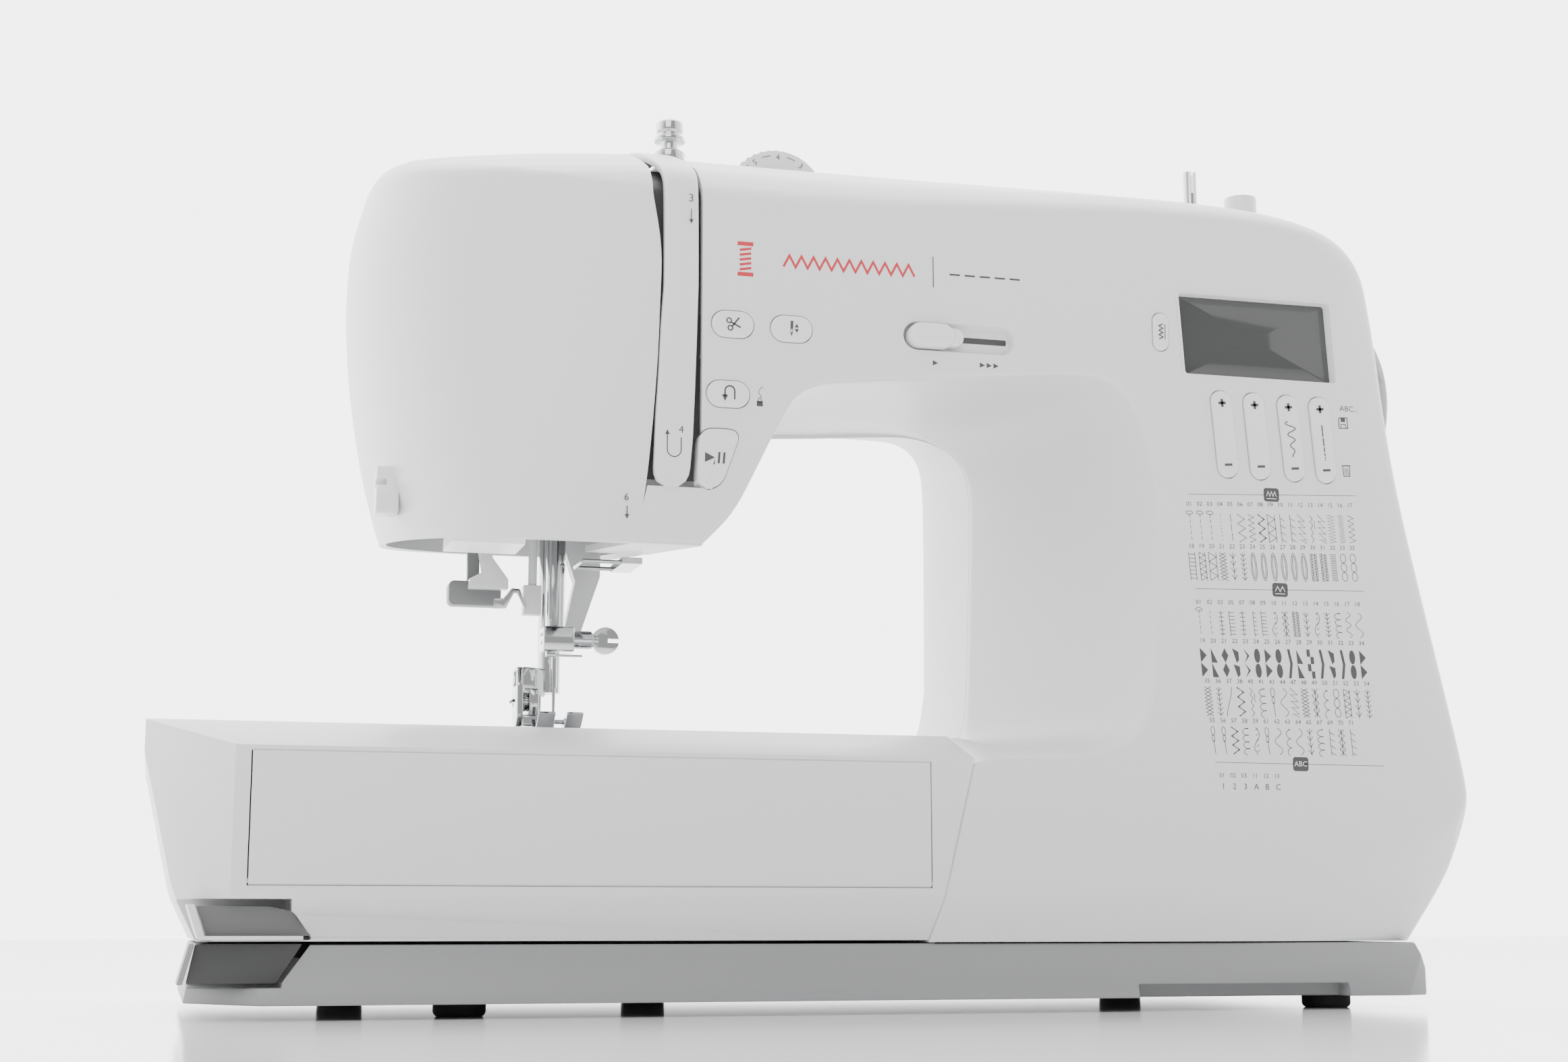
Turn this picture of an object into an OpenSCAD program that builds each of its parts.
// Free-arm sewing machine with an extension table, top-loading hook and push-button controls.
// Origin: on the table, under the middle of the machine. +X to the handwheel, -Y to the front.

/* [Case] */
// Length from the extension table's left end to the handwheel's face
machine_len = 440; // [436:1:446]
// Depth from the speed knob's face to the rear of the base
machine_depth = 197; // [193:1:201]
// Height of the case's top ridge
case_top = 293; // [288:1:298]
// Wall thickness of the plastic shells
wall = 2.6; // [2:0.1:3.2]
// Depth of the upper arm behind the front-to-rear parting plane
arm_rear = 60; // [54:1:66]

/* [Bed] */
// Height of the bed surface above the table
bed_z = 88; // [86:0.5:90]
// Height of the seam between the base and the shells
seam_z = 21.8; // [20:0.1:23]
// Height that the rubber feet lift the base
foot_h = 4.3; // [3:0.1:6]
// Half width of the free arm
free_arm_half = 36; // [34:0.5:38]

/* [Mechanism] */
// X position of the needle line
needle_x = -86.5; // [-90:0.5:-84]
// Height of the upper shaft
shaft_z = 220; // [216:1:224]
// Radius of the upper shaft
shaft_r = 6; // [5:0.5:7]
// Running clearance of a shaft in its bearing, on the radius
run_fit = 0.05; // [0.02:0.01:0.08]
// Radius of the handwheel
handwheel_r = 37; // [34:1:40]

/* [Controls] */
// How far a button's face stands out of the front cover
button_proud = 0.8; // [0.4:0.1:1.2]
// Gap round each button
button_gap = 0.45; // [0.3:0.05:0.6]

/* [Hidden] */
$fn = 48;

// Shell colours
white = [0.95, 0.95, 0.95];
grey = [0.72, 0.72, 0.73];
dark = [0.25, 0.25, 0.27];
steel = [0.75, 0.75, 0.77];

half_len = machine_len / 2;
half_depth = machine_depth / 2;
front_y = -95;
rear_y = half_depth;
split_y = 3;
bed_front_z = bed_z - 9.5;
bed_slope = 32;
hull_crease_z = 35.5;
plate_t = 1.2;
plate_top = bed_z + plate_t;
harp_x = 67;
harp_top = 203;
harp_left = -55.5;
head_bottom = 142.5;
head_rise = 19;
strip_left = -70;
strip_right = -58;
neck_left = -73.1;
seam_gap = 0.3;
table_gap = 0.8;
eps = 0.01;

// Points on an arc, for rounded outline corners
function arc_pts(cx, cy, r, a0, a1, n = 6) =
    [for (i = [0:n]) [cx + r * cos(a0 + (a1 - a0) * i / n), cy + r * sin(a0 + (a1 - a0) * i / n)]];

// Outline in X and Z, carried from y0 to y1
module prism_y(y0, y1) {
    translate([0, y1, 0]) rotate([90, 0, 0]) linear_extrude(y1 - y0) children();
}

// Outline in Y and Z, carried from x0 to x1
module prism_x(x0, x1) {
    translate([x0, 0, 0]) rotate([90, 0, 90]) linear_extrude(x1 - x0) children();
}

// Outline in X and Y, carried from z0 to z1
module prism_z(z0, z1) {
    translate([0, 0, z0]) linear_extrude(z1 - z0) children();
}

// Box given by its two corners
module block(a, b) {
    translate(a) cube(b - a);
}

// Rod along X, Y or Z
module rod_x(x0, x1, y, z, r) {
    translate([x0, y, z]) rotate([0, 90, 0]) cylinder(h = x1 - x0, r = r);
}
module rod_y(y0, y1, x, z, r) {
    translate([x, y1, z]) rotate([90, 0, 0]) cylinder(h = y1 - y0, r = r);
}
module rod_z(z0, z1, x, y, r) {
    translate([x, y, z0]) cylinder(h = z1 - z0, r = r);
}

// Rounded rectangle centred on the origin
module pill_2d(w, h, r) {
    square([w - 2 * r, h], center = true);
    square([w, h - 2 * r], center = true);
    for (sx = [-1, 1], sy = [-1, 1]) {
        translate([sx * (w / 2 - r), sy * (h / 2 - r)]) circle(r);
    }
}

// ---- Case outlines ----

right_side_pts = [
    [186.5, seam_z], [196, 40], [204, 54], [208.5, 66], [208.5, 74], [206, 94], [199, 132],
    [192, 164], [187.5, 192], [185.5, 211], [184.5, 239]
];
top_right_pts = [[184, 256], [181, 268], [174, 278], [163, 285.5], [148, 290], [125, 292.5], [100, case_top]];
arm_under_pts = [[-34.8, 187], [-28.6, 194], [0, 198.5], [30, 201.5], [42, harp_top]];

// Front view of the C-shaped body: column, arm and the stub of the head
module body_outline() {
    polygon(concat(
        [[17, seam_z]], right_side_pts, top_right_pts,
        [[strip_right, case_top], [strip_right, head_bottom]],
        [[strip_right + 0.4, head_bottom + 0.6], [harp_left, 147.3]],
        arm_under_pts, [[harp_x, harp_top], [harp_x, bed_z], [33.5, bed_z]]
    ));
}

// Side view of the whole case
module side_outline() {
    polygon([
        [-90, seam_z], [front_y, hull_crease_z], [front_y, 259], [-90.5, 264.5], [-72, 273.5],
        [-50, 282.5], [-28, 289.5], [-5, case_top], [36, case_top], [52, 289], [arm_rear, 279],
        [arm_rear, 118], [66, 100], [82, 86], [rear_y - 1.5, 76], [rear_y - 1.5, hull_crease_z], [91, seam_z]
    ]);
}

// Plan of the body with its rounded right-hand end
module body_plan() {
    polygon([
        [-78, front_y], [150, front_y], [180, -92.5], [194, -85], [203, -70], [209, -40], [210, 0],
        [209, 40], [203, 70], [194, 86], [180, 94], [150, rear_y], [-78, rear_y]
    ]);
}

// Space under the head, whose lower edge rises towards the rear
module under_head(inset) {
    prism_x(-175, -30) polygon([
        [front_y - 5, 100], [arm_rear + 5, 100], [arm_rear + 5, head_bottom + head_rise + inset],
        [front_y - 5, head_bottom - 1.2 + inset]
    ]);
}

module body_solid(inset) {
    difference() {
        intersection() {
            prism_y(front_y, rear_y) offset(delta = -inset) body_outline();
            prism_x(-90, 215) offset(delta = -inset) side_outline();
            prism_z(0, 300) offset(delta = -inset) body_plan();
        }
        under_head(inset);
    }
}

// Hollows scooped out of the front and rear of the opening beside the needle
module scoops(grow) {
    prism_z(bed_front_z - grow, harp_top + 1 + grow) polygon([
        [20, front_y - 1], [97 + grow, front_y - 1], [97 + grow, front_y], [harp_x + grow, 0], [20, 0]
    ]);
    prism_z(bed_z - grow, harp_top + grow) polygon([
        [17, -4], [harp_x + grow - 0.5, -4], [harp_x + grow, split_y], [harp_x + 1 + grow, arm_rear + 1],
        [17, arm_rear + 1]
    ]);
    prism_x(harp_left - grow, harp_x + grow) polygon([
        [split_y, harp_top - 8], [split_y, harp_top + grow], [arm_rear + 1, harp_top + 10.5 + grow],
        [arm_rear + 1, harp_top - 8]
    ]);
}

// Slope from the bed down to the front edge, over the column's foot
module bed_slope_cut(grow) {
    prism_x(0, 97 + grow) polygon([
        [front_y - 1, bed_front_z - grow], [front_y, bed_front_z - grow],
        [front_y + bed_slope, bed_z - grow], [front_y + bed_slope, bed_z + 6], [front_y - 1, bed_z + 6]
    ]);
}

// Slanted joint between the extension table and the column, in front view
module table_side(x0, shift) {
    polygon([[x0, seam_z - 1], [17 + shift, seam_z - 1], [20.8 + shift, hull_crease_z],
        [25.5 + shift, 54], [29.5 + shift, 71], [33.5 + shift, bed_z + 1], [x0, bed_z + 1]]);
}

module body_shell() {
    difference() {
        body_solid(0);
        difference() {
            body_solid(wall);
            scoops(wall + eps);
            bed_slope_cut(wall + eps);
        }
        scoops(0);
        bed_slope_cut(0);
        // Foot of the column, open over the base
        intersection() {
            block([30, -86, seam_z - 1], [180, 86, seam_z + wall + 1]);
            translate([0, 0, -wall - 1]) body_solid(wall);
        }
        // Passage from the arm into the head
        block([strip_right - 1, front_y + wall, head_bottom + wall + 1], [strip_right + wall + 1, 44, 276]);
        // The free arm and the extension table come out of the column's left side
        block([0, -free_arm_half - seam_gap, seam_z - 1], [arm_right, free_arm_half + seam_gap, bed_z + eps]);
        prism_y(front_y - 1, rear_y + 1) table_side(0, table_gap);
    }
}

// ---- Control positions on the front cover, as [x, z, width, height, corner radius] ----

cut_key = [-47.6, 213.5, 13.6, 8.6, 4.2];
needle_key = [-28.4, 213.3, 13.6, 8.6, 4.2];
reverse_key = [-49, 190.9, 13.8, 8.6, 4.2];
start_key_pts = [[-57.2, 161], [-53.2, 161], [-45.9, 178.8], [-56.4, 178.8]];
start_key_r = 3;
mode_key = [99, 221.3, 5.2, 12.6, 2.5];
rocker_z = 187.8;
rocker_x = [121, 132.9, 145.4, 157.1];
rocker_size = [7.2, 29.5, 3.5];
rocker_lean = -4.5;
slot_c = [28, 214.2];
slot_size = [38, 9.4];
knob_x = 18.2;
lcd_c = [134.6, 221.5];
lcd_size = [57, 28];
lcd_lean = 0.85;

module key_2d(k, grow) {
    translate([k[0], k[1]]) pill_2d(k[2] + 2 * grow, k[3] + 2 * grow, k[4] + grow);
}

module rocker_2d(i, grow) {
    translate([rocker_x[i], rocker_z]) rotate(-rocker_lean)
        pill_2d(rocker_size[0] + 2 * grow, rocker_size[1] + 2 * grow, rocker_size[2] + grow);
}

module slot_2d(grow) {
    translate(slot_c) pill_2d(slot_size[0] + 2 * grow, slot_size[1] + 2 * grow, slot_size[1] / 2 - 0.1 + grow);
}

// Start key: its right-hand side follows the slant of the arm's lower edge
module start_key_2d(grow) {
    offset(r = start_key_r + grow) offset(delta = -start_key_r) polygon(start_key_pts);
}

// Display outline: level edges, leaning sides
module lcd_2d(grow) {
    w = lcd_size[0] / 2 + grow;
    h = lcd_size[1] / 2 + grow;
    translate(lcd_c) polygon([
        [lcd_lean - w, -h], [lcd_lean + w, -h], [w - lcd_lean, h], [-w - lcd_lean, h]
    ]);
}

key_depth = 7;

// A push button: a cap on the first outline, and a flange on the second that keeps it behind the cover
module push_button() {
    prism_y(front_y - button_proud, front_y + key_depth) children(0);
    prism_y(front_y + wall + 1.2, front_y + wall + 2.4) children(1);
}

module pill_button(k) {
    push_button() {
        key_2d(k, 0);
        key_2d(k, 1.2);
    }
}

// ---- Cases ----

// Band over the top and down the rear that closes the gap between the arm and the head
module neck_band(y0, y1) {
    intersection() {
        block([neck_left, y0, head_bottom], [strip_right + 1, y1, 300]);
        prism_x(neck_left, strip_right + 1) difference() {
            side_outline();
            offset(delta = -wall) side_outline();
            polygon([
                [-60, 100], [arm_rear + 5, 100], [arm_rear + 5, head_bottom + head_rise], [-60, head_bottom]
            ]);
        }
    }
}

module front_cover() {
    color(white) difference() {
        intersection() {
            body_shell();
            block([-90, front_y - 1, 0], [215, split_y - seam_gap / 2, 300]);
        }
        prism_y(front_y - 1, front_y + wall + 1) {
            key_2d(cut_key, button_gap);
            key_2d(needle_key, button_gap);
            key_2d(reverse_key, button_gap);
            start_key_2d(button_gap);
            key_2d(mode_key, button_gap);
            slot_2d(0);
            lcd_2d(0);
            for (i = [0:3]) rocker_2d(i, button_gap);
        }
        // Slot for the tension dial, and holes in the top
        block([dial_x - 17, dial_y - 4.6, 262], [dial_x + 17, dial_y + 4.6, 300]);
        rod_z(280, 300, guide_x, top_y, 3.2);
        rod_z(291.15, 300, guide_x, top_y, 5.8);
        rod_z(280, 300, spindle_x, top_y, 2.55);
        rod_z(270, 300, stop_x, top_y, 6.4);
        shaft_hole();
    }
    color(white) neck_band(-9.7, split_y - seam_gap / 2);
    // Part of the head under the thread channel
    color(white) intersection() {
        prism_y(front_y, split_y - 14) polygon([
            [-77.2, head_bottom], [strip_right + 2, head_bottom], [strip_right + 2, 158], [-74.4, 158]
        ]);
        prism_x(-80, strip_right + 1) difference() {
            side_outline();
            offset(delta = -wall) side_outline();
            block2([-60, 100], [200, 300]);
        }
    }
}

module block2(a, b) {
    translate(a) square(b - a);
}

module shaft_hole() {
    rod_x(180, 230, 0, shaft_z, 15);
}

module rear_cover() {
    color(white) difference() {
        union() {
            intersection() {
                body_shell();
                block([-90, split_y + seam_gap / 2, 0], [215, rear_y + 1, 300]);
            }
            neck_band(split_y + seam_gap / 2, arm_rear);
            // Ears and pins that carry the handle
            for (s = [0, 1]) let (x = s == 0 ? handle_x0 + 4.3 : handle_x1 - 9.3) {
                block([x, arm_rear - wall, handle_z - 5], [x + 5, handle_y + 4, handle_z + 5]);
                rod_x(s == 0 ? handle_x0 - 4 : x + 4, s == 0 ? x + 1 : handle_x1 + 4, handle_y, handle_z, 2.5);
            }
        }
        rod_z(276, 300, pin_x, pin_y, 2 + run_fit);
        // Openings for the power switch and the inlet
        block([194, 11, 44], [214, 33, 64]);
        block([194, 42.4, 44.4], [214, 61.6, 63.6]);
        // Slot for the drop-feed lever
        block([49.5, rear_y - 4.6, 42.5], [67, rear_y + 1, 49.5]);
        for (p = screw_places) rod_y(screw_face(p) - screw_sink, screw_face(p) + 1, p[0], p[1], 3.6);
        shaft_hole();
        // Pivot bore of the power switch
        rod_y(9, 35, switch_axis[0], switch_axis[1], switch_pin_r + run_fit);
        // Slot that the presser lifter swings in
        block([-62, 22, 140], [-34, 36, 192]);
    }
}

head_left_pts = [
    [-143, head_bottom], [-146.4, 150], [-150, 163], [-153.5, 180], [-157, 199], [-160, 220],
    [-161.5, 240], [-161, 254], [-158, 264], [-151, 271], [-138, 277], [-120, 281.5], [-100, 286], [-80, 290.5]
];
head_plan_pts = [
    [-60, front_y], [-90, front_y + 0.5], [-112, -91], [-130, -83.5], [-145, -71], [-155, -54],
    [-160.5, -32], [-162, 0], [-160, 24], [-154, 42], [-143, 54], [-128, arm_rear], [-60, arm_rear]
];

module head_solid(inset) {
    intersection() {
        prism_y(-100, 70) offset(delta = -inset)
            polygon(concat(head_left_pts, [[-60, case_top], [-60, head_bottom - 8]],
                [[-143, head_bottom - 8]]));
        prism_x(-170, -60) offset(delta = -inset) side_outline();
        prism_z(100, 300) offset(delta = -inset) polygon(head_plan_pts);
    }
}

module face_cover() {
    color(white) difference() {
        intersection() {
            head_solid(0);
            prism_y(-100, 70) polygon([
                [-170, head_bottom], [-77.6, head_bottom], [-74.6, 160], [-72.4, 187], [-71.5, 202],
                [-70.4, 238], [-73.4, 244], [-73.4, 300], [-170, 300]
            ]);
        }
        head_solid(wall);
        block([-170, -48, 156], [-138, -36, 173]);
        under_head(0);
        // Behind the thread channel the arm's neck takes over
        block([-73.4, -9.8, head_bottom - 1], [-60, arm_rear + 1, 300]);
        rod_x(-170, -140, -41, 202, 3.6);
    }
}

module thread_channel_cover() {
    color(white) intersection() {
        prism_y(front_y, 30) polygon(concat(
            [[strip_left, case_top + 1], [strip_left, 225], [-71.5, 195], [-72.8, 165]],
            arc_pts(-68.4, 164.4, 4, 190, 300, 5),
            [[-61.2, 164.6], [-60.2, 190], [-59.2, 225], [-58.9, case_top + 1]]
        ));
        prism_x(-80, -50) difference() {
            side_outline();
            offset(delta = -2) side_outline();
            block2([-10, 0], [200, 320]);
            block2([-200, 0], [200, 159]);
        }
    }
}

module free_arm_profile(inset) {
    w = free_arm_half - inset;
    r = 18 - inset / 2;
    polygon(concat(
        [[-w, bed_z - inset]],
        arc_pts(-w + r, arm_under + inset + r, r, 180, 270, 6),
        arc_pts(w - r, arm_under + inset + r, r, 270, 360, 6),
        [[w, bed_z - inset]]
    ));
}

arm_left = -157;
arm_right = 42;
arm_under = 42;

module free_arm_cover() {
    color(white) difference() {
        prism_x(arm_left, arm_right - seam_gap) free_arm_profile(0);
        prism_x(arm_left + wall, 60) free_arm_profile(wall);
        // Opening under the needle plate
        block([needle_x - 26, -31, bed_z - wall - 1], [needle_x + 26, 26, bed_z + 1]);
        // Holes for the screws that hold the needle plate
        for (x = [-40, 40]) rod_z(bed_z - 5, bed_z + 1, needle_x + x, 12, 1.5);
    }
}

module needle_plate() {
    color(steel) difference() {
        prism_z(bed_z, plate_top) difference() {
            translate([needle_x, -2]) pill_2d(100, 64, 3);
            translate([needle_x, 0]) square([8, 2.2], center = true);
            for (x = [-6.5, 6.5]) translate([needle_x + x, 4]) square([3.4, 18], center = true);
            translate([needle_x - cover_half, -36]) square([2 * cover_half, 36 - 7.5]);
        }
        for (x = [-40, 40]) rod_z(bed_z - 1, plate_top + 1, needle_x + x, 12, 1.5);
    }
}

cover_half = 24;

module bobbin_cover() {
    color([0.85, 0.9, 0.95, 0.5]) difference() {
        block([needle_x - cover_half + 0.3, -33.8, bed_z + 0.05], [needle_x + cover_half - 0.3, -8, plate_top]);
        translate([needle_x, -29, plate_top]) rotate([0, 90, 0]) cylinder(h = 24, r = 0.8, center = true);
    }
}

// ---- Extension table ----

table_left = -half_len;
table_plan_pts = [
    [-194.5, front_y], [34, front_y], [34, -free_arm_half - table_gap],
    [arm_left - table_gap, -free_arm_half - table_gap],
    [arm_left - table_gap, free_arm_half + table_gap], [34, free_arm_half + table_gap], [34, rear_y],
    [-190, rear_y], [table_left + 6, rear_y - 12], [table_left, rear_y - 32], [table_left, -64]
];

module table_front_view(inset) {
    offset(delta = -inset) polygon([
        [-203, seam_z + 0.6], [17, seam_z + 0.6], [20.8, hull_crease_z], [25.5, 54], [29.5, 71],
        [33.5, bed_z], [table_left, bed_z], [table_left, 78.3], [-216, 62], [-211, 40], [-209.5, hull_crease_z]
    ]);
}

module table_side_view(inset) {
    offset(delta = -inset) polygon([
        [-90, seam_z + 0.6], [front_y, hull_crease_z], [front_y, bed_front_z],
        [front_y + bed_slope, bed_z], [rear_y - 6, bed_z], [rear_y, bed_z - 6],
        [rear_y, hull_crease_z], [91, seam_z + 0.6]
    ]);
}

module table_solid(inset) {
    intersection() {
        prism_y(-120, 120) table_front_view(inset);
        prism_x(-230, 60) table_side_view(inset);
        prism_z(0, 100) offset(delta = -inset) polygon(table_plan_pts);
    }
}

lid_left = -190;
lid_right = 17;
lid_low = hull_crease_z + 2.5;
lid_high = bed_front_z - 1.2;
lid_t = 2.6;
lid_hinge_y = front_y + lid_t / 2;
lid_hinge_z = lid_low + 1.6;

// Finger hollow at the lower left corner
module table_notch() {
    block([-225, front_y - 5, seam_z + 2.4], [-177, -58, 34.5]);
}

module extension_table() {
    color(white) difference() {
        table_solid(0);
        difference() {
            table_solid(wall);
            // Wall behind the finger hollow
            block([-225, front_y - 5, seam_z], [-177 + wall, -58 + wall, 34.5 + wall]);
        }
        table_notch();
        block([lid_left, front_y - 1, lid_low], [lid_right, front_y + wall + 1, lid_high]);
        rod_x(lid_left - 2.2, lid_right + 2.2, lid_hinge_y, lid_hinge_z, 0.8 + run_fit);
    }
}

// Flap on the table's front, round along its lower edge, with a pin at each end
module storage_lid() {
    color(white) {
        block([lid_left + 0.4, front_y, lid_hinge_z], [lid_right - 0.4, front_y + lid_t, lid_high - 0.4]);
        rod_x(lid_left + 0.4, lid_right - 0.4, lid_hinge_y, lid_hinge_z, lid_t / 2);
        rod_x(lid_left - 2, lid_right + 2, lid_hinge_y, lid_hinge_z, 0.8);
        // Catch near the upper edge
        block([-92, front_y + lid_t - 0.1, lid_high - 4.5], [-80, front_y + 5, lid_high - 2]);
    }
}

// ---- Base ----

base_left = -206;
base_right = 194;
base_notch = [27, 36, 12.5];

module base_solid(inset) {
    intersection() {
        prism_y(-100, 100) offset(delta = -inset)
            polygon([[base_left, foot_h], [base_right, foot_h], [186.5, seam_z - 0.4], [-203, seam_z - 0.4]]);
        prism_x(-210, 200) offset(delta = -inset)
            polygon([[-94.5, foot_h], [rear_y, foot_h], [91.5, seam_z - 0.4], [-90, seam_z - 0.4]]);
        prism_z(0, 30) offset(delta = -inset) polygon([
            [-184, -96], [178, -96], [190, -90], [195, -78], [195, 78], [190, 92], [178, 99],
            [-184, 99], [-198, 92], [-206, 72], [-207, -64]
        ]);
    }
}

recess_x = [86, 160];

foot_places = [[-125, -68], [164, -70], [-150, 68], [-40, 68], [150, 68]];

module base_plinth() {
    color(grey) difference() {
        base_solid(0);
        difference() {
            translate([0, 0, 3]) intersection() {
                base_solid(3);
                block([-300, -300, 0], [300, 300, 40]);
            }
            block([base_left - 5, -100, 0], [base_left + base_notch[0] + 5, -100 + base_notch[1] + 9, 40]);
        }
        // Open top over the tray
        intersection() {
            block([44, -70, seam_z - 6], [176, 80, seam_z + 2]);
            base_solid(3.2);
        }
        // Finger hollow under the table's corner
        block([base_left - 5, -100, seam_z - base_notch[2]],
            [base_left + base_notch[0], -100 + base_notch[1] + 5, seam_z + 1]);
        // Shallow recess in the lower front edge
        block([recess_x[0], -100, foot_h - 1], [recess_x[1], -86, foot_h + 4.2]);
        for (p = foot_places) rod_z(foot_h - 1, foot_h + 1.2, p[0], p[1], 8.2);
    }
}

module rubber_feet() {
    color(dark) for (p = foot_places) translate([p[0], p[1], 0]) rotate_extrude()
        polygon([[0, 0], [7.2, 0], [8, 1], [8, foot_h + 1.15], [0, foot_h + 1.15]]);
}

screw_places = [[60, 56], [150, 56], [110, 130], [150, 235], [-20, 222]];
screw_sink = 1.2;

// The face that a screw sits in: the arm's rear, or the deeper rear of the hull
function screw_face(p) = p[1] > 100 ? arm_rear : rear_y - 1.5;

// Pan-head screws that hold the rear cover to the frame
module casing_screws() {
    color(steel) for (p = screw_places) difference() {
        rod_y(screw_face(p) - screw_sink + 0.02, screw_face(p) + 0.3, p[0], p[1], 3.4);
        block([p[0] - 2.6, screw_face(p) - 0.4, p[1] - 0.4], [p[0] + 2.6, screw_face(p) + 1, p[1] + 0.4]);
        block([p[0] - 0.4, screw_face(p) - 0.4, p[1] - 2.6], [p[0] + 0.4, screw_face(p) + 1, p[1] + 2.6]);
    }
}

// ---- Frame and drive ----

lower_y = 4;
lower_z = 59;
lower_r = 3.5;
hook_y = -17;
hook_r = 15.6;
motor_y = 22;
motor_z = 36;
timing_x = 82.5;
column_x = 94;
base_floor = 10.4;

module chassis_frame() {
    color([0.62, 0.63, 0.65]) difference() {
        union() {
            // Bed beam, base plate and column
            block([-148, -16, arm_under + 3.2], [60, 16, arm_under + 6.2]);
            block([56, -24, base_floor], [62, 26, arm_under + 6.2]);
            block([56, -30, base_floor], [172, 60, base_floor + 3]);
            block([column_x, -24, base_floor + 2], [column_x + 10, 24, 236]);
            // Arm beam and head bracket
            block([-62, -16, 232], [170, 16, 238]);
            for (x = [-62, 20, column_x, 160]) block([x, -14, 209], [x + 10, 14, 236]);
            block([needle_x - 8, -16, 232], [-60, 22, 238]);
            block([needle_x - 6.6, -7, 172], [needle_x + 8, 22, 180]);
            block([needle_x - 6.6, 17, 172], [needle_x + 8, 22, 238]);
            rod_y(20, 35, lifter_x, lifter_z, 2.5);
            // Bearing legs of the lower shaft, and the motor's bracket
            for (x = [-50, 30]) block([x, lower_y - 7, arm_under + 4], [x + 8, lower_y + 7, lower_z + 7]);
            block([158, -4, base_floor + 2], [163, 46, 52]);
        }
        rod_x(-100, 200, 0, shaft_z, shaft_r + run_fit);
        rod_z(150, 250, needle_x, 0, bar_r + run_fit);
        rod_z(150, 250, needle_x, presser_y, 4 + run_fit);
        rod_z(30, 60, needle_x, hook_y, 4 + run_fit);
        rod_x(-60, 70, lower_y, lower_z, lower_r + run_fit);
        rod_x(150, 170, motor_y, motor_z, 9);
    }
}

gear_teeth = 14;

// Spur outline: teeth as steps on a circle
module gear_2d(r_in, r_out, teeth) {
    polygon([for (i = [0:teeth * 4 - 1]) let (a = 360 * i / (teeth * 4), r = (i % 4 < 2) ? r_out : r_in)
        [r * cos(a), r * sin(a)]]);
}

module main_shaft() {
    color(steel) {
        rod_x(-70, 192, 0, shaft_z, shaft_r);
        // Counterweight and crank pin that drive the needle bar
        difference() {
            rod_x(-74, -70 + eps, 0, shaft_z, 11);
            block([-75, -12, shaft_z - 12], [-69, 12, shaft_z - 4]);
        }
        rod_x(-77.5, -74 + eps, 0, shaft_z + 7.5, 2.4);
        // Timing pulley for the lower shaft
        translate([timing_x, 0, shaft_z]) rotate([0, 90, 0]) linear_extrude(9) gear_2d(9.4, 10, 20);
    }
}

// Handwheel: fluted rim, dished face and the belt pulley on its hub
module handwheel() {
    color(grey) difference() {
        translate([0, 0, shaft_z]) rotate([90, 0, 90]) union() {
            translate([0, 0, 190]) rotate_extrude() polygon([
                [shaft_r + run_fit, 0], [13, 0], [13, 8], [34, 8], [handwheel_r, 11], [handwheel_r, 23],
                [34.5, 28], [32, 30], [29, 27], [10, 25], [0, 26], [0, 2.2], [shaft_r + run_fit, 2.2]
            ]);
            // Belt pulley
            translate([0, 0, 172]) linear_extrude(18.5) difference() {
                gear_2d(11.4, 12, 24);
                circle(shaft_r + run_fit);
            }
        }
        for (i = [0:17]) translate([0, 0, shaft_z]) rotate([i * 20, 0, 0])
            rod_x(197, 222, 0, handwheel_r + 3.4, 4.6);
    }
}

belt_x0 = 173;
belt_t = 1.6;

// Flat loop round two pulleys, each given as [y, z, radius]
module belt_loop(x0, w, a, b) {
    prism_x(x0, x0 + w) difference() {
        hull() for (p = [a, b]) translate([p[0], p[1]]) circle(p[2] + belt_t);
        hull() for (p = [a, b]) translate([p[0], p[1]]) circle(p[2]);
    }
}

// Motor belt at the handwheel, and timing belt down the column
module drive_belt() {
    color(dark) belt_loop(belt_x0, 9, [0, shaft_z, 12.4], [motor_y, motor_z, 8.5]);
    color(dark) belt_loop(timing_x + 0.5, 8, [0, shaft_z, 10.4], [lower_y, lower_z, 10.4]);
}

module motor() {
    color(dark) {
        rod_x(112, 157, motor_y, motor_z, 22);
        rod_x(156, 164, motor_y, motor_z, 8.6);
        rod_x(108, 113, motor_y, motor_z, 10);
    }
}

module motor_pulley() {
    color(steel) {
        rod_x(164.3, 172, motor_y, motor_z, 3);
        translate([171, motor_y, motor_z]) rotate([0, 90, 0]) linear_extrude(14) gear_2d(7.6, 8.1, 16);
    }
}

module lower_shaft() {
    color(steel) {
        rod_x(-100, timing_x + 9, lower_y, lower_z, lower_r);
        translate([-98, lower_y, lower_z]) rotate([0, 90, 0]) linear_extrude(23) gear_2d(7.4, 8.5, gear_teeth);
        translate([timing_x, lower_y, lower_z]) rotate([0, 90, 0]) linear_extrude(9) gear_2d(9.4, 10, 20);
    }
}

// Cup that turns round the bobbin case, on a geared upright shaft
module rotary_hook() {
    color(steel) difference() {
        union() {
            rod_z(68.4, 81.2, needle_x, hook_y, hook_r);
            rod_z(arm_under + 3.6, 69, needle_x, hook_y, 4);
            translate([needle_x, hook_y, 53]) linear_extrude(12) gear_2d(11, 12.1, 14);
        }
        rod_z(69.2, 84, needle_x, hook_y, hook_r - 1.2);
        // Mouth that the needle thread slips through
        translate([needle_x, hook_y, 74]) rotate(62) block([12, -4, 0], [20, 4, 10]);
    }
}

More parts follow.
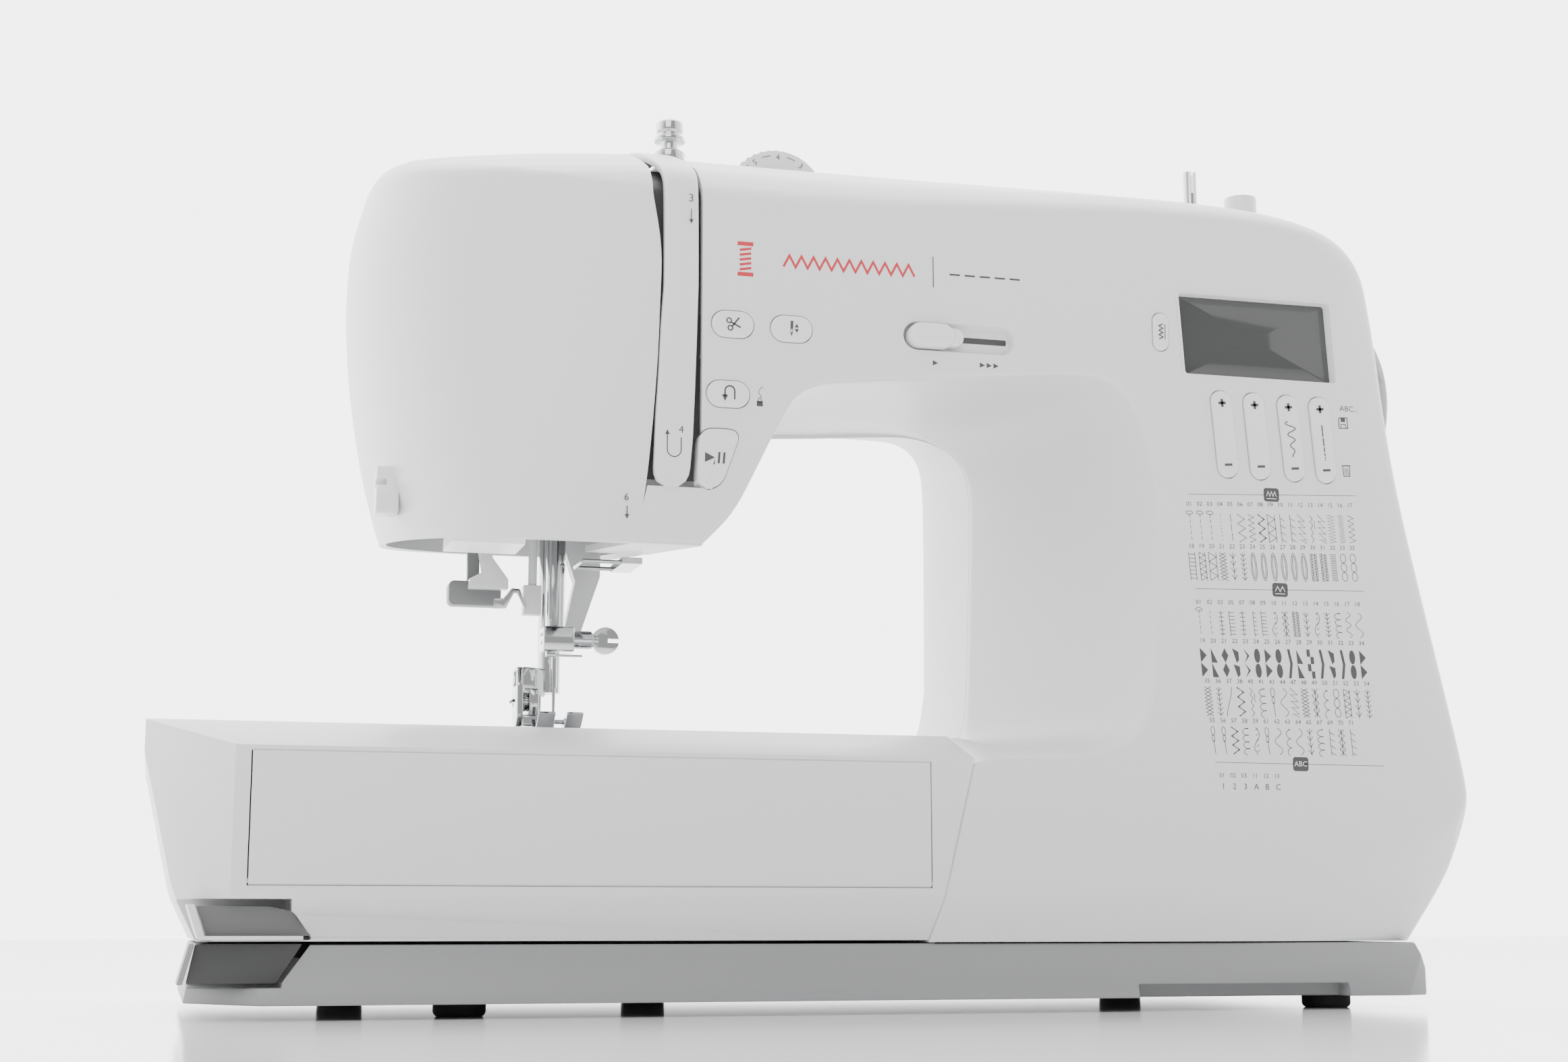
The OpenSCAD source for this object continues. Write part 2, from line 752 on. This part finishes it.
module bobbin_case() {
    color(dark) difference() {
        union() {
            rod_z(69.6, 83.4, needle_x, hook_y, hook_r - 1.6);
            prism_z(81.6, 83.4) translate([needle_x + 14, hook_y]) pill_2d(8, 6, 1);
        }
        rod_z(70.6, 85, needle_x, hook_y, 12);
    }
}

bobbin_r = 10.3;

module bobbin() {
    color([0.85, 0.87, 0.9]) translate([needle_x, hook_y, 70.9]) rotate_extrude() polygon([
        [3.1, 0], [bobbin_r, 0], [bobbin_r, 1], [4.6, 1],
        [4.6, 10.6], [bobbin_r, 10.6], [bobbin_r, 11.6], [3.1, 11.6]
    ]);
}

module feed_dog() {
    color(steel) {
        block([needle_x - 9, 4, bed_z - 5], [needle_x + 9, 20, bed_z - 2.4]);
        for (x = [-6.5, 6.5]) {
            block([needle_x + x - 1.3, -2.4, bed_z - 4], [needle_x + x + 1.3, 12.4, bed_z + 0.3]);
        }
        for (x = [-6.5, 6.5], y = [-2:2:10]) prism_x(needle_x + x - 1.3, needle_x + x + 1.3)
            polygon([[y, bed_z + 0.2], [y + 1.4, bed_z + 0.2], [y + 0.3, bed_z + 1]]);
    }
}

module drop_feed_lever() {
    color(grey) {
        block([50, rear_y - 5, 43], [58, rear_y - 1, 49]);
        block([48, rear_y - 7.4, 41], [60, rear_y - 5 + eps, 51]);
    }
}

// ---- Needle end ----

bar_r = 3.3;
clamp_z = 119;

module needle_bar() {
    color(steel) rod_z(clamp_z + 9, 258, needle_x, 0, bar_r);
}

module needle_clamp() {
    color(steel) difference() {
        union() {
            rod_z(clamp_z, clamp_z + 9, needle_x, 0, 4.6);
            block([needle_x, -3.2, clamp_z + 1], [needle_x + 6.6, 3.2, clamp_z + 8]);
        }
        rod_z(clamp_z - 1, clamp_z + 10, needle_x, 0, 1.1);
        rod_x(needle_x + 1.4, needle_x + 8, 0, clamp_z + 4.6, 1.55);
    }
}

module needle_clamp_screw() {
    color(steel) difference() {
        union() {
            rod_x(needle_x + 1.5, needle_x + 7, 0, clamp_z + 4.6, 1.5);
            rod_x(needle_x + 7 - eps, needle_x + 15, 0, clamp_z + 4.6, 2);
            rod_y(-1.3, 1.3, needle_x + 17.6, clamp_z + 4.6, 4.7);
        }
        block([needle_x + 18.4, -3, clamp_z + 3.9], [needle_x + 24, 3, clamp_z + 5.3]);
    }
}

module needle() {
    color(steel) {
        rod_z(107, clamp_z + 8.6, needle_x, 0, 1);
        translate([needle_x, 0, 94]) cylinder(h = 13.01, r1 = 0.45, r2 = 0.6);
        translate([needle_x, 0, 90.4]) cylinder(h = 3.61, r1 = 0.08, r2 = 0.45);
    }
}

// Wire loop on the needle clamp, and the guide under the head
module needle_thread_guide() {
    color(steel) {
        rod_y(-9, 7, needle_x + 8, 150, 0.7);
        rod_x(needle_x + 7.6, needle_x + 22, -9, 150, 0.7);
        rod_x(needle_x + 7.6, needle_x + 22, 7, 150, 0.7);
        block([needle_x + 21, -12, 149.2], [needle_x + 28, 9, 151.4]);
    }
}

presser_y = 11;
foot_pin_z = 95.5;
sole_z = plate_top + 1;
ankle_screw_z = 103.5;

module presser_bar() {
    color(steel) rod_z(106, 250, needle_x, presser_y, 4);
}

module presser_ankle() {
    color(steel) difference() {
        union() {
            block([needle_x - 12.5, presser_y - 5.5, 97.2], [needle_x - 4.15, presser_y + 5, 115]);
            block([needle_x - 12.5, 1.6, 97.2], [needle_x - 1.2, presser_y + 5, 104]);
            block([needle_x - 7.5, 1.6, 93.6], [needle_x + 5, presser_y - 4.2, 98]);
        }
        rod_x(needle_x - 14, needle_x - 3, presser_y, ankle_screw_z, 1.75);
        rod_x(needle_x - 9, needle_x + 6, 5, foot_pin_z, 0.85);
    }
}

module ankle_screw() {
    color(steel) difference() {
        union() {
            rod_x(needle_x - 12.5 - 3, needle_x - 12.5 - eps, presser_y, ankle_screw_z, 3.4);
            rod_x(needle_x - 12.6, needle_x - 4.2, presser_y, ankle_screw_z, 1.7);
        }
        block(
            [needle_x - 17, presser_y - 5, ankle_screw_z - 0.6],
            [needle_x - 14, presser_y + 5, ankle_screw_z + 0.6]
        );
    }
}

// Zigzag foot: sole with a needle slot, two raised toes and its cross pin
module presser_foot() {
    color(steel) difference() {
        union() {
            prism_x(needle_x - 8.5, needle_x + 8.5) polygon([
                [-13.4, 94.6], [-12.7, 95.6], [-8.8, 92.6], [-4, 91.9], [12, 91.9], [13.4, 92.8], [13.4, 91.6],
                [11.6, sole_z], [-6, sole_z], [-9.6, 91.4]
            ]);
            for (x = [-9.3, 5.9]) block([needle_x + x, 2.4, sole_z + 0.4], [needle_x + x + 1.4, 7.6, 96.4]);
            rod_x(needle_x - 9.3, needle_x + 7.3, 5, foot_pin_z, 0.8);
        }
        block([needle_x - 4.6, -2, plate_top - 1], [needle_x + 4.6, 1.4, 97]);
        block([needle_x - 1.4, -14, plate_top - 1], [needle_x + 1.4, 1, 97]);
    }
}

lifter_x = -80.5;
lifter_z = 182;

module presser_lifter() {
    color(white) difference() {
        union() {
            rod_y(24, 34, lifter_x, lifter_z, 6);
            prism_y(26, 32) polygon([
                [-86, 180], [-75, 148], [-79.5, 126], [-77.5, 122], [-74, 126], [-66, 150],
                [-66, 160], [-75.5, 186], [-84, 187]
            ]);
        }
        rod_y(20, 40, lifter_x, lifter_z, 2.5 + run_fit);
    }
}

module buttonhole_lever() {
    color(grey) {
        block([needle_x - 29.8, 4, 142], [needle_x - 25.8, 8, 205]);
        prism_y(2, 9) translate([needle_x - 27.4, 139]) pill_2d(18, 8.4, 2);
    }
}

module needle_threader() {
    color(white) {
        prism_y(-8, -3) polygon([
            [-118, 172], [-109, 172], [-109.5, 150], [-104, 142.6], [-104, 139.4], [-117, 139.4],
            [-117, 142.6], [-112.5, 145]
        ]);
    }
    color(dark) {
        rod_z(140, 178, -95.4, -5.6, 1.5);
        block([-98.6, -8, 131], [-92.6, -3, 141]);
        block([-109.5, -6, 168], [-95.4, -4, 171]);
    }
}

// Thread cutter: a tab that stands off the face cover, with a hooked slit
module thread_cutter() {
    color(white) difference() {
        block([-152.6, -46.6, 157], [-145.4, -37.4, 172]);
        block([-154, -47.5, 166], [-149, -41, 168.4]);
    }
}

take_up_pivot = [-45, 205];

module take_up_lever() {
    color(steel) {
        prism_x(-72.4, -70.9) polygon([
            [-43, 202], [-47, 202], [-72, 226], [-86, 241], [-88, 247], [-84.5, 248], [-81, 242],
            [-62, 224], [-43, 208]
        ]);
        rod_x(-70.9 - eps, -63.5, take_up_pivot[0], take_up_pivot[1], 3);
    }
}

module led_lamp() {
    color([1, 0.98, 0.9]) block([-128, -44, 149], [-104, -22, 153]);
}

// ---- Top of the arm ----

top_y = -20;
guide_x = -52;
spindle_x = 148;
spindle_r = 2.5;
spindle_foot_z = 292.6;
stop_x = 168.6;
dial_x = -13.5;
dial_y = -20;
pin_x = 96;
pin_y = 34;

module pretension_guide() {
    color(steel) {
        rod_z(286, 300.4, guide_x, top_y, 3.1);
        translate([guide_x, top_y, 291.2]) rotate_extrude() polygon([
            [0, 0], [5.6, 0], [5.6, 3.2], [4, 4.2], [0, 4.2]
        ]);
        translate([guide_x, top_y, 298.6]) rotate_extrude() polygon([
            [0, 0], [5.4, 0], [5.4, 1.4], [4.2, 2], [4.2, 3], [4.8, 3.6], [4.8, 6.6], [4.2, 7.4], [0, 7.4]
        ]);
    }
}

dial_r = 18;
dial_z = 280.4;

// Thumbwheel with a knurled rim, on a hub inside the arm
module tension_dial() {
    color(white) difference() {
        union() {
            rod_y(dial_y - 4, dial_y + 4, dial_x, dial_z, dial_r - 0.6);
            translate([dial_x, dial_y + 2.8, dial_z]) rotate([90, 0, 0]) linear_extrude(5.6)
                gear_2d(dial_r - 0.7, dial_r, 40);
        }
        rod_y(dial_y - 6, dial_y + 6, dial_x, dial_z, 4);
    }
}

module winder_spindle() {
    color(steel) difference() {
        union() {
            rod_z(spindle_foot_z, 305.4, spindle_x, top_y, spindle_r);
            rod_z(272, spindle_foot_z + eps, spindle_x, top_y, spindle_r - 0.3);
            rod_z(272, 276, spindle_x, top_y, 9);
        }
        block([spindle_x - 0.6, top_y - 4, 297], [spindle_x + 0.6, top_y + 4, 307]);
    }
}

module winder_stop() {
    color(white) rod_z(276, 297.2, stop_x, top_y, 6);
}

module spool_pin() {
    color(dark) {
        rod_z(283, 293.6, pin_x, pin_y, 2);
        rod_z(293.6 - eps, 294.8, pin_x, pin_y, 5);
        rod_x(pin_x - 62, pin_x, pin_y, 298.2, 2);
        rod_z(294.7, 300.4, pin_x, pin_y, 2.4);
    }
}

module spool_cap() {
    color(dark) difference() {
        rod_x(pin_x - 60, pin_x - 55, pin_y, 298.2, 4.8);
        rod_x(pin_x - 70, pin_x - 50, pin_y, 298.2, 2.03);
    }
}

handle_x0 = -40;
handle_x1 = 84;
handle_y = arm_rear + 7;
handle_z = 268;
handle_drop = 42;

// Carrying handle: hangs down behind the arm and swings up over the top
module carry_handle() {
    color(white) difference() {
        union() {
            for (x = [handle_x0, handle_x1]) {
                rod_x(x - 4, x + 4, handle_y, handle_z, 5);
                block([x - 4, handle_y - 3, handle_z - handle_drop], [x + 4, handle_y + 3, handle_z]);
            }
            block([handle_x0 - 4, handle_y - 3, handle_z - handle_drop - 6],
                [handle_x1 + 4, handle_y + 3, handle_z - handle_drop + 8]);
        }
        for (x = [handle_x0, handle_x1]) rod_x(x - 6, x + 6, handle_y, handle_z, 2.5 + run_fit);
    }
}

// ---- Controls ----

module thread_cut_button() { color(white) pill_button(cut_key); }
module needle_position_button() { color(white) pill_button(needle_key); }
module reverse_button() { color(white) pill_button(reverse_key); }
module mode_button() { color(white) pill_button(mode_key); }
module start_stop_button() {
    color(white) push_button() {
        start_key_2d(0);
        start_key_2d(1);
    }
}

// Rocker key that tilts about its middle
module rocker(i) {
    color(white) difference() {
        union() {
            prism_y(front_y - button_proud, front_y + 3) rocker_2d(i, 0);
            translate([rocker_x[i], 0, rocker_z]) rotate([0, rocker_lean, 0])
                rod_x(-3.2, 3.2, front_y + 5, 0, 1.4);
            translate([rocker_x[i], 0, rocker_z]) rotate([0, rocker_lean, 0])
                block([-2, front_y + 2.9, -1.4], [2, front_y + 5, 1.4]);
        }
    }
}

module tens_rocker() { rocker(0); }
module units_rocker() { rocker(1); }
module width_rocker() { rocker(2); }
module length_rocker() { rocker(3); }

module speed_slider() {
    color(white) {
        prism_y(-half_depth, front_y + 1.6) translate([knob_x, slot_c[1]]) pill_2d(14.6, 7.8, 3.4);
        block([knob_x - 2, front_y + 1.5, slot_c[1] - 1], [knob_x + 2, front_y + 5.2, slot_c[1] + 1]);
    }
}

module lcd_window() {
    color([0.15, 0.16, 0.18]) prism_y(front_y + 0.9, front_y + wall + 0.6) lcd_2d(-0.3);
}

// Circuit board behind the panel with the display module, and the slide pot behind the speed slot
module control_board() {
    color([0.1, 0.35, 0.2]) {
        block([100, front_y + 11, 150], [166, front_y + 12.6, 240]);
        block([106, front_y + 4, 209], [162, front_y + 11 + eps, 234]);
    }
    color(dark) block([6, front_y + 5.6, 209], [50, front_y + 10, 219]);
}

switch_axis = [200, 54];
switch_pin_r = 1.4;

// Rocker switch, tilting about its rear edge
module power_switch() {
    color(dark) {
        prism_y(11.5, 32.5) polygon([[199, 46.5], [205.6, 44.8], [204.8, 54], [208, 62.6], [199, 61.5]]);
        rod_y(10, 34, switch_axis[0], switch_axis[1], switch_pin_r);
    }
}

module power_inlet() {
    color(dark) difference() {
        block([196, 43, 45], [208, 61, 63]);
        block([200, 45, 47], [209, 59, 61]);
    }
    color(steel) for (y = [49, 55]) rod_x(199, 207, y, 54, 1.2);
}

base_plinth();
rubber_feet();
front_cover();
rear_cover();
face_cover();
thread_channel_cover();
free_arm_cover();
needle_plate();
bobbin_cover();
extension_table();
storage_lid();
casing_screws();
chassis_frame();
main_shaft();
handwheel();
drive_belt();
motor();
motor_pulley();
lower_shaft();
rotary_hook();
bobbin_case();
bobbin();
feed_dog();
drop_feed_lever();
needle_bar();
needle_clamp();
needle_clamp_screw();
needle();
needle_thread_guide();
presser_bar();
presser_ankle();
ankle_screw();
presser_foot();
presser_lifter();
buttonhole_lever();
needle_threader();
thread_cutter();
take_up_lever();
led_lamp();
pretension_guide();
tension_dial();
winder_spindle();
winder_stop();
spool_pin();
spool_cap();
carry_handle();
thread_cut_button();
needle_position_button();
reverse_button();
start_stop_button();
mode_button();
tens_rocker();
units_rocker();
width_rocker();
length_rocker();
speed_slider();
lcd_window();
control_board();
power_switch();
power_inlet();
